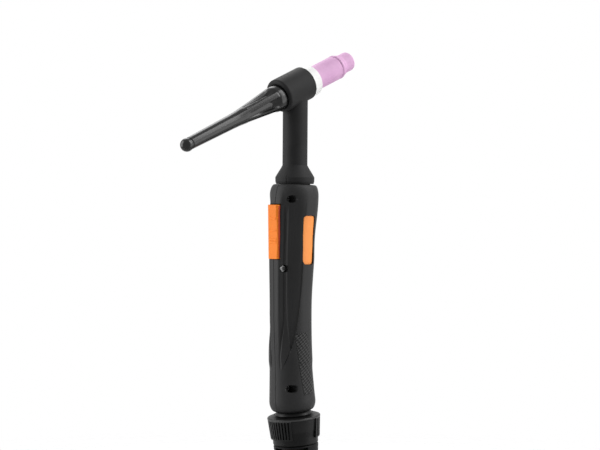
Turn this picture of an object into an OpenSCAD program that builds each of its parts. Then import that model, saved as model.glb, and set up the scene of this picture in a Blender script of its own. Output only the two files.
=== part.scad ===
// Gas cooled TIG welding torch: a two-shell moulded grip with a rocker trigger, a rubber
// covered neck and head, ceramic nozzle, long back cap, and a ball jointed tail with its
// slotted bend sleeve. Millimetres. +Z runs up the neck, +X is the palm and nozzle side,
// -X the trigger side. The origin is the middle of the grip, on the neck's axis.

/* [Grip] */
// Length of the grip between its two end faces
grip_len = 180; // [170:1:190]
// Radius of the grip at its upper bulge
bulge_r = 19.6; // [19:0.1:20.5]
// Radius of the grip below the bulge, beside the trigger
shoulder_r = 18; // [17.4:0.1:18.8]
// Radius of the grip at its waist
waist_r = 16.4; // [16:0.1:17.5]
// Radius of the grip at its heel, above the lower end
heel_out_r = 18.5; // [17.8:0.1:19.5]
// Distance of the bulge from the upper end face
bulge_at = 11; // [9:0.5:14]
// Distance of the shoulder from the upper end face
shoulder_at = 45; // [38:1:60]
// Distance of the waist from the lower end face
waist_at = 81; // [70:1:95]
// Distance of the heel from the lower end face
heel_at = 7; // [6.5:0.5:12]
// Amount by which the upper edge is rounded inward
top_drop = 3.4; // [1.5:0.1:3.6]
// Amount by which the lower edge is rounded inward
heel_drop = 3.3; // [1.5:0.1:3.5]
// How far the middle of the grip bows towards the trigger
bow = 4.3; // [0:0.1:5]
// Slope of the upper end face, low on the palm side
top_lean = 1.8; // [0:0.1:3]
// Lean of the tail, its lower end towards the palm side
tail_lean = 6.5; // [0:0.5:9]
// Wall of the grip shells
wall = 2.6; // [2.2:0.1:3]
// Three-lobed flattening of the grip's section
lobe = 0.03; // [0:0.005:0.04]
// Height of the curved crease between the front and the palm panel
crease_h = 0.7; // [0.2:0.1:1]
// Angle of the crease from the trigger side where it starts
crease_angle = 78; // [65:1:90]
// Angle that the crease sweeps through on its way down
crease_sweep = 58; // [30:1:60]
// Distance from the upper end face to the start of the crease
crease_from = 62; // [55:1:75]
// Distance from the upper end face to the tip of the crease
crease_to = 147; // [130:1:155]

/* [Trigger and switch] */
// Length of the trigger along the grip
trigger_len = 43; // [36:1:48]
// Width of the trigger
trigger_w = 11.6; // [10.6:0.2:13]
// Distance from the grip's upper end face to the trigger's upper end
trigger_at = 16; // [15:0.5:20]
// Distance of the middle of the trigger's outer face from the neck's axis
trigger_x = 24.3; // [23.6:0.1:24.8]
// Depth of the trigger from its face to the edge of its side walls
trigger_d = 7.6; // [7:0.1:8]
// Lean of the trigger's face, which stands out more at its upper end, in degrees
trigger_lean = 1.4; // [0:0.1:2]
// Radius of the trigger's long edges
trigger_round = 1.8; // [1:0.1:2.2]
// Thickness of the trigger's face
trigger_skin = 2; // [1.4:0.1:2.4]
// Depth of the finger dish in the trigger
dish_d = 0.4; // [0.2:0.1:0.8]
// Height of the raised bars across the trigger
bar_h = 0.25; // [0.1:0.05:0.4]
// Radius of the trigger's hinge pin
pin_r = 1.5; // [1:0.1:1.8]
// Distance of the hinge pin from the neck's axis
pin_x = 15.6; // [15.2:0.1:16]
// Distance of the hinge pin above the trigger's lower end
pin_up = 4; // [3.4:0.1:5]
// Length of the hinge pin
pin_len = 16.6; // [16:0.1:17]
// Height of the switch housing along the grip
switch_h = 19.8; // [18:0.2:21]
// Depth of the switch housing
switch_d = 9; // [8:0.1:9.2]
// Thickness of the switch housing
switch_t = 6; // [5.4:0.1:6.6]
// Distance between the two mounting pegs of the switch
peg_pitch = 9.5; // [8:0.1:11]
// Radius of the mounting pegs
peg_r = 1.15; // [0.9:0.05:1.4]
// Height of the switch plunger above the trigger's hinge pin
plunger_up = 25; // [22:0.5:27]
// Radius of the switch plunger
plunger_r = 1.3; // [1:0.05:1.6]
// Length of the plunger outside the housing
plunger_out = 1.7; // [1.5:0.1:2.2]

/* [Screws and label] */
// Radius of the screw heads
screw_head_r = 2.85; // [2.5:0.05:2.9]
// Height of the screw heads
screw_head_h = 2; // [1.5:0.1:2.4]
// Radius of the screw shanks
screw_r = 1.4; // [1.1:0.05:1.5]
// Length of the screw shanks
screw_len = 13; // [10:0.5:14]
// Depth of the head seats from the joint between the shells
screw_seat = 5; // [4:0.1:6]
// Radius of the upper and lower screw bosses
boss_r = 3.9; // [3.7:0.1:4.2]
// Length of the label inlay
label_len = 39; // [30:0.2:44]
// Width of the label inlay
label_w = 11.8; // [8:0.1:12.5]
// Thickness of the label inlay
label_t = 1.2; // [0.8:0.1:1.4]
// Distance from the grip's upper end face to the middle of the label
label_at = 44; // [42:0.5:50]

/* [Head and neck] */
// Height of the head's axis above the grip's upper end face
head_up = 77; // [70:1:90]
// Rise of the head's axis above square to the neck
head_tilt = 22.4; // [10:0.1:30]
// Outer radius of the head's rubber cover
head_r = 13.7; // [13.4:0.1:14.5]
// Distance from the neck's axis to the head's rear face
head_rear = 20; // [19:0.1:22]
// Distance from the neck's axis to the head's front face
head_front = 10.6; // [10.2:0.1:12]
// Radius of the rounded rear edge of the head
head_edge = 2.2; // [0.5:0.1:2.5]
// Radius of the brass head block
block_r = 9.8; // [9.4:0.1:10.2]
// Outer radius of the neck's rubber cover
neck_r = 10; // [9.4:0.1:11]
// Radius of the flared skirt over the grip
skirt_r = 15.7; // [14.8:0.1:15.9]
// Height of the straight part of the skirt
skirt_h = 5.2; // [4:0.1:8]
// Height of the flare above the skirt
flare_h = 9.7; // [8:0.1:13]
// Radius of the copper neck tube
tube_r = 5; // [4.5:0.1:5.4]
// Radius of the gas way through the neck tube
tube_bore = 3.2; // [2.5:0.1:3.6]
// Distance between the flats of the power adaptor's hexagon
adaptor_af = 17; // [15:0.1:17.6]
// Radius of the power adaptor's threaded stud
stud_r = 6; // [5:0.1:6.5]
// Length of the power adaptor's threaded stud
stud_len = 16; // [12:0.5:20]

/* [Nozzle, collet and electrode] */
// Outer radius of the white gasket
gasket_r = 12.5; // [12:0.1:13]
// Length of the white gasket outside the head
gasket_len = 8.6; // [7.6:0.1:9.4]
// Radius of the nozzle at its base
nozzle_r = 9.85; // [9.7:0.05:10.4]
// Length of the ceramic nozzle
nozzle_len = 48; // [46:0.5:52]
// Radius of the nozzle's mouth inside
throat_r = 5.6; // [4.8:0.1:6]
// Outer radius of the nozzle's tip
tip_r = 7.85; // [7.4:0.05:8.4]
// Length of the narrow tip
tip_len = 11; // [9.5:0.1:13]
// Height of the bead behind the tip
bead_h = 0.2; // [0:0.05:0.3]
// Radius of the nozzle's threaded bore
nozzle_bore = 7.35; // [7:0.05:7.6]
// Radius of the gas outlet nose of the collet body
nose_r = 5.5; // [4.8:0.1:5.8]
// Length of the nose beyond the nozzle thread
nose_len = 23; // [20:0.5:26]
// Radius of the four gas holes in the collet body
gas_hole_r = 1; // [0.6:0.1:1.2]
// Radius of the tungsten electrode
electrode_r = 1.2; // [0.8:0.1:1.2]
// Length of the tungsten electrode
electrode_len = 175; // [150:1:175]
// Distance of the electrode's tip behind the nozzle's mouth
electrode_back = 5.5; // [3:0.5:8]
// Length of the electrode's ground point
point_len = 5; // [3:0.5:7]

/* [Back cap] */
// Length of the back cap beyond the electrode's tail
cap_beyond = 13.4; // [12.8:0.1:18]
// Radius of the back cap's collar
collar_r = 10.4; // [10:0.1:10.7]
// Length of the collar outside the head
collar_len = 8; // [6:0.1:9]
// Length of the steep cone behind the collar
cone_len = 21; // [16:0.5:24]
// Radius of the back cap where the cone ends
taper_r = 6.2; // [5.8:0.1:6.6]
// Radius of the back cap where the taper ends
cap_end_r = 4.9; // [4.6:0.1:5.2]
// Radius of the rounded knob at the back cap's tip
knob_r = 5.3; // [5:0.05:5.5]
// Number of grip flutes round the cone
flutes = 7; // [5:1:7]
// Radius of the cutter that makes the flutes
flute_r = 3.6; // [3:0.1:3.8]
// Outer radius of the brass thread in the back cap
insert_r = 6.15; // [5.9:0.05:6.4]
// Radius of the bore that holds the electrode's tail
cap_bore = 2; // [1.8:0.1:2.4]
// Thickness of the seal ring
seal_t = 1.9; // [1.6:0.1:2]

/* [Ball joint and sleeve] */
// Radius of the ball
ball_r = 16.5; // [16.2:0.1:16.8]
// Distance from the grip's lower end face to the ball's centre
ball_drop = 10; // [9.8:0.1:10.6]
// Radius of the neck between ball and grip
spigot_r = 13.3; // [12.8:0.1:13.4]
// Radius of the flange that the shells hold
flange_r = 15.5; // [15:0.1:15.6]
// Thickness of the flange
flange_t = 2.4; // [2:0.1:2.6]
// Radius of the cable way through the ball
ball_bore = 8.5; // [7:0.1:10]
// Furthest tilt of the tail to either side
tilt_max = 10; // [5:1:10]
// Radius of the ring nut at its rim
nut_r = 21.3; // [20.8:0.1:21.8]
// Radius of the smooth part of the ring nut at its lower end
nut_low_r = 18.1; // [18:0.05:18.6]
// Height of the ring nut's body below the rim
nut_h = 22; // [20:0.5:24]
// Width of each ribbed pad, as an angle
pad_angle = 116; // [100:1:126]
// Number of grooves in each pad
grooves = 15; // [9:1:15]
// Width of the grooves
groove_w = 1.2; // [0.8:0.1:1.4]
// Turn of the pads from the trigger side
pad_turn = -18; // [-30:1:30]
// Radius of the sleeve's collar
sleeve_r = 18; // [17.6:0.1:18.4]
// Length of the sleeve's collar
sleeve_collar = 1.2; // [1:0.1:3]
// Length of the bend sleeve
sleeve_len = 51; // [46:1:60]
// Outer radius of the sleeve's mouth
mouth_r = 13.5; // [12.8:0.1:15]
// Radius of the cable outlet in the sleeve's mouth
outlet_r = 10; // [8.5:0.1:10.5]
// Length of the cable outlet
outlet_len = 9; // [6:0.5:12]
// Height of the slots in the sleeve
slot_h = 2.2; // [1.4:0.1:2.6]
// Distance from one row of slots to the next
slot_pitch = 5.4; // [4.6:0.1:7]
// Width of each slot, as an angle
slot_angle = 98; // [70:1:120]

/* [Hidden] */

fine = 96;                 // facets of a drawn circle; solids keep true circles
gap = 0.3;                 // clearance between pieces that move past each other
run = 0.05;                // radial clearance of a running fit
eps = 0.01;
far = 40;                  // reach of a cutter beyond the piece
grip_top = grip_len / 2;
bow_late = 1.15;           // how late the bow is deepest
bow_full = 0.7;            // how soon the bow sets in
front_from = 4;            // the flat front starts this far from the upper end face
front_full = 24;
front_fade = 98;           // where the flat front begins to die away
front_to = 150;
fade = 20;                 // length over which the lobes fade in at the grip's ends
round_top = 10;            // length of the rounded upper edge
round_heel = 8;            // length of the rounded lower edge
segs = 25;                 // facets round half a shell
front_segs = 11;            // of which in front of the crease
ring_steps = 23;           // rings along the plain part of the grip
crease_power = 3;          // how late the crease swings over
crease_thin = 2.5;         // angle across the crease at its start
crease_wide = 13;          // angle across the crease at its tip
crease_fade = 16;          // length over which the crease rises and dies
lip_h = 3.5;               // height of the collar that holds the neck
lip_step = 0.5;
heel_lip = 3;              // height of the lip under the swivel flange
step = 0.2;                // height of a step between two inner radii
ledge = 2.4;               // height of the ledge above the swivel flange
flange_room = flange_t + 2 * gap;

// ---------- form of the grip ----------
function mix(a, b, u) = a + (b - a) * u;
function ease(a, b, d) = let (u = min(1, max(0, (d - a) / (b - a)))) u * u * (3 - 2 * u);
function rounding(drop, reach, d) = drop * (1 - sqrt(1 - pow(1 - min(1, d / reach), 2)));
function body_r(d) = let (low = grip_len - waist_at, heel = grip_len - heel_at)
    d < shoulder_at ? mix(bulge_r, shoulder_r, ease(bulge_at, shoulder_at, d))
    : d < low ? mix(shoulder_r, waist_r, ease(shoulder_at, low, d))
    : mix(waist_r, heel_out_r, pow(min(1, (d - low) / (heel - low)), 2));
function lobed(d, a) = 1 + lobe * min(1, d / fade, (grip_len - d) / fade) * (a > 90 ? cos(3 * a) : 0);
front_form = [              // angle from the trigger side, rise of the front there
    [0, 1.3], [8, 1.45], [14, 1.8], [18, 1.65], [24, 0.1], [30, -0.95], [36, -1.6],
    [44, -2], [52, -1.9], [60, -1.4], [70, -0.6], [80, -0.1], [90, 0]
];
function front_rise(d, a) = lookup(a, front_form) * ease(front_from, front_full, d)
    * (1 - ease(front_fade, front_to, d));
function crease_u(d) = min(1, max(0, (d - crease_from) / (crease_to - crease_from)));
function crease_at(d) = crease_angle - crease_sweep * pow(crease_u(d), crease_power);
function crease_w(d) = mix(crease_thin, crease_wide, pow(crease_u(d), 2));
function crease_rise(d) = crease_h * ease(crease_from - crease_fade, crease_from, d)
    * (1 - ease(crease_to - crease_fade, crease_to, d));
function section_r(d, a) = body_r(d) * lobed(d, a) + front_rise(d, a);
function outer_r(d, a) = body_r(d) * lobed(d, a) - rounding(top_drop, round_top, d)
    - rounding(heel_drop, round_heel, grip_len - d);
heel_top = heel_lip + 2 * step + flange_room + ledge;
function heel_r(up) = up > heel_lip + step / 2 && up < heel_lip + step * 1.5 + flange_room
    ? flange_r + gap : spigot_r + gap;
function axis_x(d) = -bow * pow(sin(180 * pow(d / grip_len, bow_late)), bow_full);
function lean(d) = mix(-top_lean, tail_lean, pow(d / grip_len, 2));
function grip_point(d, a, r) = let (x = -r * cos(a))
    [axis_x(d) + x * cos(lean(d)), -r * sin(a), grip_top - d + x * sin(lean(d))];
// Inner skin: round about the neck at the top and about the tail's axis at the heel
function neck_point(d, a, r) = [-r * cos(a), -r * sin(a), grip_top - d];
function tail_point(up, a, r) = let (x = -r * cos(a))
    [x * cos(tail_lean) - up * sin(tail_lean), -r * sin(a),
        x * sin(tail_lean) + up * cos(tail_lean) - grip_top];
function inner_point(d, a) = let (up = grip_len - d)
    d <= lip_h ? neck_point(d, a, plug_waist_r + 0.5)
    : up <= heel_top ? tail_point(up, a, heel_r(up))
    : grip_point(d, a, section_r(d, a) - wall);

// Angles of the outer points: even in front of the crease and even behind it
function outer_angle(d, k) = let (c = crease_at(d), w = crease_w(d) / 2)
    k <= front_segs ? (c - w) * k / front_segs
    : mix(c + w, 180, (k - front_segs - 1) / (segs - front_segs - 1));
function shell_ring(d) = concat(
    [for (k = [0 : segs]) let (a = outer_angle(d, k))
        grip_point(d, a, outer_r(d, a)
            + (k > front_segs ? crease_rise(d) * sin(min(90, 180 - a)) : front_rise(d, a)))],
    [for (k = [0 : segs]) let (a = 180 - 180 * k / segs) inner_point(d, a)]);
heel_marks = [
    heel_top + 3, heel_top + step, heel_top,
    heel_lip + 2 * step + flange_room,
    heel_lip + step + flange_room,
    heel_lip + step + flange_room / 2,
    heel_lip + step, heel_lip, heel_lip / 2, heel_lip / 6, 0
];
plain_from = 10;
plain_to = grip_len - heel_marks[0] - 2;
ring_marks = concat(
    [0, 0.7, 2, lip_h, lip_h + lip_step, 6.5],
    [for (i = [0 : ring_steps]) mix(plain_from, plain_to, i / ring_steps)],
    [for (m = heel_marks) grip_len - m]);

// Half of the grip: a wall between an outer and an inner skin, open on the joint plane y = 0
module shell_half() {
    rings = [for (d = ring_marks) shell_ring(d)];
    per = 2 * (segs + 1);
    last = len(rings) - 1;
    sides = [for (j = [0 : last - 1], k = [0 : per - 1]) let (
            a = j * per + k, b = j * per + (k + 1) % per, c = b + per, e = a + per)
        each [[a, b, c], [a, c, e]]];
    cap = [for (k = [0 : segs - 1]) [k, k + 1, per - 2 - k, per - 1 - k]];
    top_cap = [for (q = cap) each [[q[0], q[3], q[2]], [q[0], q[2], q[1]]]];
    low_cap = [for (q = cap) let (o = last * per)
        each [[o + q[0], o + q[1], o + q[2]], [o + q[0], o + q[2], o + q[3]]]];
    polyhedron(points = [for (r = rings) each r], faces = concat(sides, top_cap, low_cap));
}

// ---------- places worked out from the sizes ----------
plug_waist_r = 12.4;       // neck plug where the grip's collar holds it
plug_r = 14;               // flange of the neck plug inside the grip
trigger_top = grip_top - trigger_at;
trigger_low = trigger_top - trigger_len;
pin_z = trigger_low + pin_up;
plunger_z = pin_z + plunger_up;
trigger_edge = -trigger_x + trigger_d;
plunger_tip = trigger_edge + gap;
switch_face = plunger_tip + plunger_out;
switch_low = plunger_z - switch_h / 2;
peg_x = switch_face + switch_d / 2;
slot_side = 0.4;           // room beside the trigger
slot_top = 0.8;            // room above the trigger, which rises as it is pressed
tube_end = pin_z - 1;      // lower end of the neck tube
hex_h = 8;
rib_t = 1.8;
boss_skin = 0.5;           // wall round a counterbore in its boss
// Screws: distance from the upper end face, place across, boss radius, length of boss and shank
screw_marks = [
    [11.4, -13.8, boss_r, 9],
    [trigger_at + trigger_len + 7.6, -15.1, screw_head_r + boss_skin, 5.5],
    [grip_len - 18, -11.7, boss_r, 9]
];
terminal_len = 5;         // length of the switch terminals
label_x = -0.9;
label_corner = 2.6;
label_turn = 2.3;          // the label follows the bow of the grip
label_in = 0.25;           // the inlay's face below the shell's surface

module head_frame() translate([0, 0, grip_top + head_up]) rotate([0, 90 - head_tilt, 0]) children();
module tail_frame() translate([0, 0, -grip_top]) rotate([0, -tail_lean, 0]) children();
module along_y(x, z) translate([x, 0, z]) rotate([-90, 0, 0]) children();

// Revolve of a half outline about Z
module turned(points) rotate_extrude($fn = fine) polygon(points);
module tube_z(r_out, r_in, z0, z1) turned([[r_in, z0], [r_out, z0], [r_out, z1], [r_in, z1]]);
function arc(cx, cy, r, a0, a1, n = 10) = [for (i = [0 : n]) let (a = mix(a0, a1, i / n))
    [cx + r * cos(a), cy + r * sin(a)]];

// ---------- grip shells ----------
function screw_x(s) = axis_x(s[0]) + s[1];
module screw_bosses() for (s = screw_marks) along_y(screw_x(s), grip_top - s[0])
    cylinder(r = s[2], h = s[3], $fn = fine);
rib_in = 0.8;              // how far a rib reaches into the wall
module tube_rib(z) let (d = grip_top - z) translate([axis_x(d), 0, z - rib_t / 2]) linear_extrude(rib_t)
    polygon([for (a = [0 : 9 : 180]) let (r = section_r(d, a) - wall + rib_in)
        [-r * cos(a), r * sin(a)]]);
upper_rib_z = switch_low - terminal_len - 2.5;
hex_rib_z = tube_end - hex_h / 2;
module inner_ribs() {
    difference() {
        tube_rib(upper_rib_z);
        translate([0, 0, upper_rib_z - rib_t]) cylinder(r = tube_r + gap, h = 2 * rib_t, $fn = fine);
    }
    difference() {
        tube_rib(hex_rib_z);
        translate([0, 0, hex_rib_z - rib_t]) hexagon(adaptor_af + 2 * gap, 2 * rib_t);
    }
}
module hexagon(af, h) cylinder(r = af / 2 / cos(30), h = h, $fn = 6);
module switch_posts() for (dz = [-1, 1]) along_y(peg_x, plunger_z + dz * peg_pitch / 2)
    translate([0, 0, switch_t / 2 + 0.2]) cylinder(r = 2 * peg_r, h = post_len, $fn = fine);
post_len = shoulder_r - wall - switch_t / 2 - 3;
module trigger_slot() translate([-far, -trigger_w / 2 - slot_side, trigger_low - slot_side])
    cube([far - pin_x + 4, trigger_w + 2 * slot_side, trigger_len + slot_side + slot_top]);
module pin_bore() along_y(-pin_x, pin_z) translate([0, 0, -pin_len / 2 - gap])
    cylinder(r = pin_r + run, h = pin_len + 2 * gap, $fn = fine);

// The label's prism stands on the -Y side; its face follows a cone that fits the shell
module label_prism(grow) translate([label_x, 0, grip_top - label_at]) rotate([90, label_turn, 0])
    linear_extrude(far) rounded_rect(label_w + 2 * grow, label_len + 2 * grow, label_corner + grow);
module label_cone(off) let (d0 = label_at - label_len / 2, d1 = label_at + label_len / 2)
    translate([axis_x(label_at), 0, grip_top - d1 - 2])
        cylinder(r1 = body_r(d1) + off, r2 = body_r(d0) + off, h = label_len + 4, $fn = fine);

module handle_shell_left() mirror([0, 1, 0]) shell_half();
module handle_left() color([0.2, 0.2, 0.21]) difference() {
    union() {
        handle_shell_left();
        screw_bosses();
        inner_ribs();
        switch_posts();
    }
    for (s = screw_marks) along_y(screw_x(s), grip_top - s[0]) translate([0, 0, -eps])
        cylinder(r = screw_r + run, h = min(screw_len - screw_seat, s[3]) + gap, $fn = fine);
    trigger_slot();
    pin_bore();
}
module handle_right() color([0.2, 0.2, 0.21]) difference() {
    union() {
        shell_half();
        mirror([0, 1, 0]) {
            screw_bosses();
            inner_ribs();
            switch_posts();
        }
        for (dz = [-1, 1]) along_y(peg_x, plunger_z + dz * peg_pitch / 2)
            translate([0, 0, -switch_t / 2 - 1]) cylinder(r = peg_r, h = switch_t + 0.8, $fn = fine);
    }
    for (s = screw_marks) along_y(screw_x(s), grip_top - s[0]) {
        translate([0, 0, -far]) cylinder(r = screw_head_r + 0.2, h = far - screw_seat, $fn = fine);
        translate([0, 0, -screw_seat - 1]) cylinder(r = screw_r + 0.2, h = screw_seat + 2, $fn = fine);
    }
    trigger_slot();
    pin_bore();
    difference() {
        label_prism(0.2);
        label_cone(-label_in - label_t - 0.15);
    }
}

module handle_screws() color([0.35, 0.35, 0.37]) for (s = screw_marks)
    along_y(screw_x(s), grip_top - s[0]) difference() {
        union() {
            translate([0, 0, -screw_seat - screw_head_h])
                cylinder(r1 = screw_head_r - 0.4, r2 = screw_head_r, h = screw_head_h, $fn = fine);
            translate([0, 0, -screw_seat - eps])
                cylinder(r = screw_r, h = min(screw_len, screw_seat + s[3]), $fn = fine);
        }
        translate([0, 0, -screw_seat - screw_head_h - eps]) hexagon(screw_head_r, screw_head_h * 0.6);
    }

module label_inlay() color([1, 0.45, 0.12]) intersection() {
    label_prism(0);
    difference() {
        label_cone(-label_in);
        label_cone(-label_in - label_t);
    }
}

// ---------- trigger and switch ----------
module rounded_rect(w, l, r) {
    square([w - 2 * r, l], center = true);
    square([w, l - 2 * r], center = true);
    for (x = [-1, 1], y = [-1, 1]) translate([x * (w / 2 - r), y * (l / 2 - r)]) circle(r, $fn = fine);
}
cheek_r = pin_r + 1.5;
ear_z = trigger_top - 5.5;
ear_h = 5;
ear_x = trigger_edge + 1;
bar_w = 2.2;
bar_marks = [10.2, 19.8, 26.9, 29.4];    // middles of the bars below the trigger's upper end
trigger_mid = trigger_top - trigger_len / 2;
dish_at = -trigger_len * 0.06;           // middle of the dish above the trigger's middle
dish_reach = trigger_len * 0.4;
dish_r = (pow(dish_reach, 2) + pow(dish_d, 2)) / (2 * dish_d);
// Origin at the trigger's middle, leaning with its face
module face_frame() translate([0, 0, trigger_mid]) rotate([0, -trigger_lean, 0]) children();
module trigger_outline() intersection() {
    translate([-trigger_x - 1, 0, trigger_mid]) rotate([90, 0, 90])
        linear_extrude(trigger_d + 1) rounded_rect(trigger_w, trigger_len, 1.6);
    face_frame() linear_extrude(trigger_len + 4, center = true)
        rounded_rect(2 * trigger_x, trigger_w, trigger_round);
}
module trigger_dish() face_frame() translate([-trigger_x - dish_r + dish_d, 0, dish_at])
    rotate([90, 0, 0]) cylinder(r = dish_r, h = 2 * trigger_w, center = true, $fn = 4 * fine);
function dish_in(up) = dish_d - dish_r + sqrt(pow(dish_r, 2) - pow(up - dish_at, 2));
module trigger_bars() for (m = bar_marks) let (up = trigger_len / 2 - m) face_frame()
    translate([-trigger_x + max(0, dish_in(up)), 0, up]) rotate([90, 0, 0])
        linear_extrude(trigger_w - 2 * trigger_round, center = true) polygon([
            [0.6, -bar_w / 2], [0, -bar_w / 2], [-bar_h, bar_h - bar_w / 2],
            [-bar_h, bar_w / 2 - bar_h], [0, bar_w / 2], [0.6, bar_w / 2]
        ]);
wall_t = 1.5;
module trigger() color([1, 0.42, 0.08]) difference() {
    union() {
        difference() {
            trigger_outline();
            trigger_dish();
            translate([-trigger_x + trigger_skin + dish_d, -trigger_w / 2 + wall_t, trigger_low + 1.8])
                cube([far, trigger_w - 2 * wall_t, trigger_len - 3.6]);
        }
        trigger_bars();
        for (s = [-1, 1]) {
            translate([0, s * (trigger_w / 2 - wall_t / 2), 0]) {
                along_y(-pin_x, pin_z) cylinder(r = cheek_r, h = wall_t, center = true, $fn = fine);
                translate([(trigger_edge - pin_x) / 2 - 0.5, 0, pin_z])
                    cube([abs(trigger_edge + pin_x) + 1, wall_t, 2 * cheek_r], center = true);
                translate([(trigger_edge + ear_x + 1.4) / 2 - 0.5, 0, ear_z])
                    cube([ear_x + 1.4 - trigger_edge + 1, wall_t, ear_h], center = true);
            }
            translate([ear_x + 0.7, s * (trigger_w / 2 + 0.35), ear_z])
                cube([1.4, 2.4, ear_h], center = true);
        }
        translate([-trigger_x + trigger_skin, -2, plunger_z - 1.5]) cube([trigger_d - trigger_skin, 4, 3]);
    }
    pin_bore();
}
module trigger_pin() color([0.75, 0.76, 0.78]) along_y(-pin_x, pin_z)
    cylinder(r = pin_r, h = pin_len, center = true, $fn = fine);

module switch_housing() color([0.12, 0.12, 0.13]) difference() {
    translate([switch_face, -switch_t / 2, switch_low]) cube([switch_d, switch_t, switch_h]);
    for (dz = [-1, 1]) along_y(peg_x, plunger_z + dz * peg_pitch / 2)
        cylinder(r = peg_r + run, h = 2 * far, center = true, $fn = fine);
    translate([switch_face - 1, 0, plunger_z]) rotate([0, 90, 0])
        cylinder(r = plunger_r + run, h = 1 + 3.6, $fn = fine);
}
module switch_plunger() color([0.8, 0.2, 0.15]) translate([plunger_tip, 0, plunger_z]) rotate([0, 90, 0]) {
    cylinder(r1 = plunger_r - 0.4, r2 = plunger_r, h = 0.5, $fn = fine);
    translate([0, 0, 0.5]) cylinder(r = plunger_r, h = plunger_out + 1.3, $fn = fine);
}
module switch_terminals() color([0.85, 0.7, 0.3]) for (x = [0.25, 0.75])
    translate([switch_face + switch_d * x - 0.3, -1.6, switch_low - terminal_len])
        cube([0.6, 3.2, terminal_len]);

// ---------- head and neck ----------
head_z = grip_top + head_up;
block_rear = head_rear - 4.8;
block_front = head_front - 1.8;
recess_r = collar_r + 0.4;
cover_rise = 0.5;          // the cover is thicker above the block than under it
recess_floor = head_rear - 2.5;
skirt_low = grip_top + 0.6;
plug_top = grip_top - lip_h - 0.8;
plug_h = 3.2;
flare = [for (i = [0 : 8]) let (u = i / 8)
    [mix(skirt_r, neck_r, mix(u, ease(0, 1, u), 0.1)), skirt_low + skirt_h + flare_h * u]];
module head_cover() color([0.16, 0.16, 0.17]) difference() {
    union() {
        head_frame() translate([-cover_rise, 0, 0]) turned(concat([[0, -head_rear]],
            arc(head_r - head_edge, -head_rear + head_edge, head_edge, -90, 0),
            [[head_r, head_front - 0.4], [head_r - 0.4, head_front], [0, head_front]]));
        turned(concat([[0, plug_top - plug_h], [plug_r - 0.6, plug_top - plug_h],
            [plug_r, plug_top - plug_h + 0.6], [plug_r, plug_top], [plug_waist_r, plug_top],
            [plug_waist_r, skirt_low], [skirt_r - 0.7, skirt_low], [skirt_r - 0.1, skirt_low + 2]],
            flare, [[neck_r, head_z], [0, head_z]]));
    }
    head_frame() {
        translate([0, 0, -far]) cylinder(r = recess_r, h = far - recess_floor, $fn = fine);
        translate([0, 0, -far]) cylinder(r = block_r + run, h = 2 * far, $fn = fine);
    }
    translate([0, 0, -far]) cylinder(r = tube_r + run, h = head_z + far, $fn = fine);
    lug_room();
}
lug_r = 7;
lug_len = 17;
module lug_room() translate([0, 0, head_z - lug_len - run])
    cylinder(r = lug_r + run, h = lug_len, $fn = fine);

tube_top = head_z - 9.5;
thread_r = insert_r + 0.1;
body_thread_r = 5;         // thread of the collet body in the head block
rear_depth = 11;
front_depth = 9;
module head_block() color([0.8, 0.65, 0.32]) difference() {
    union() {
        head_frame() translate([0, 0, -block_rear])
            cylinder(r = block_r, h = block_rear + block_front, $fn = fine);
        translate([0, 0, head_z - lug_len]) cylinder(r = lug_r, h = lug_len - 2, $fn = fine);
    }
    head_frame() {
        translate([0, 0, -block_rear - 1]) cylinder(r = thread_r, h = rear_depth + 1, $fn = fine);
        translate([0, 0, block_front - front_depth]) cylinder(r = body_thread_r + run, h = far, $fn = fine);
        translate([0, 0, -block_rear]) cylinder(r = 2.6, h = far, $fn = fine);
    }
    translate([0, 0, head_z - far]) cylinder(r = tube_r + 0.02, h = far - (head_z - tube_top), $fn = fine);
    translate([0, 0, head_z - far]) cylinder(r = 2, h = far, $fn = fine);
}
module neck_tube() color([0.82, 0.5, 0.32]) tube_z(tube_r, tube_bore, tube_end, tube_top);
socket_h = 6;
module power_adaptor() color([0.82, 0.68, 0.35]) difference() {
    union() {
        translate([0, 0, tube_end]) cylinder(r = tube_r + 1.8, h = socket_h, $fn = fine);
        translate([0, 0, tube_end - hex_h]) hexagon(adaptor_af, hex_h);
        translate([0, 0, tube_end - hex_h - stud_len]) cylinder(r = stud_r, h = stud_len + eps, $fn = fine);
    }
    translate([0, 0, tube_end]) cylinder(r = tube_r + 0.02, h = far, $fn = fine);
    translate([0, 0, tube_end - far]) cylinder(r = tube_bore, h = 2 * far, $fn = fine);
}

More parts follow.
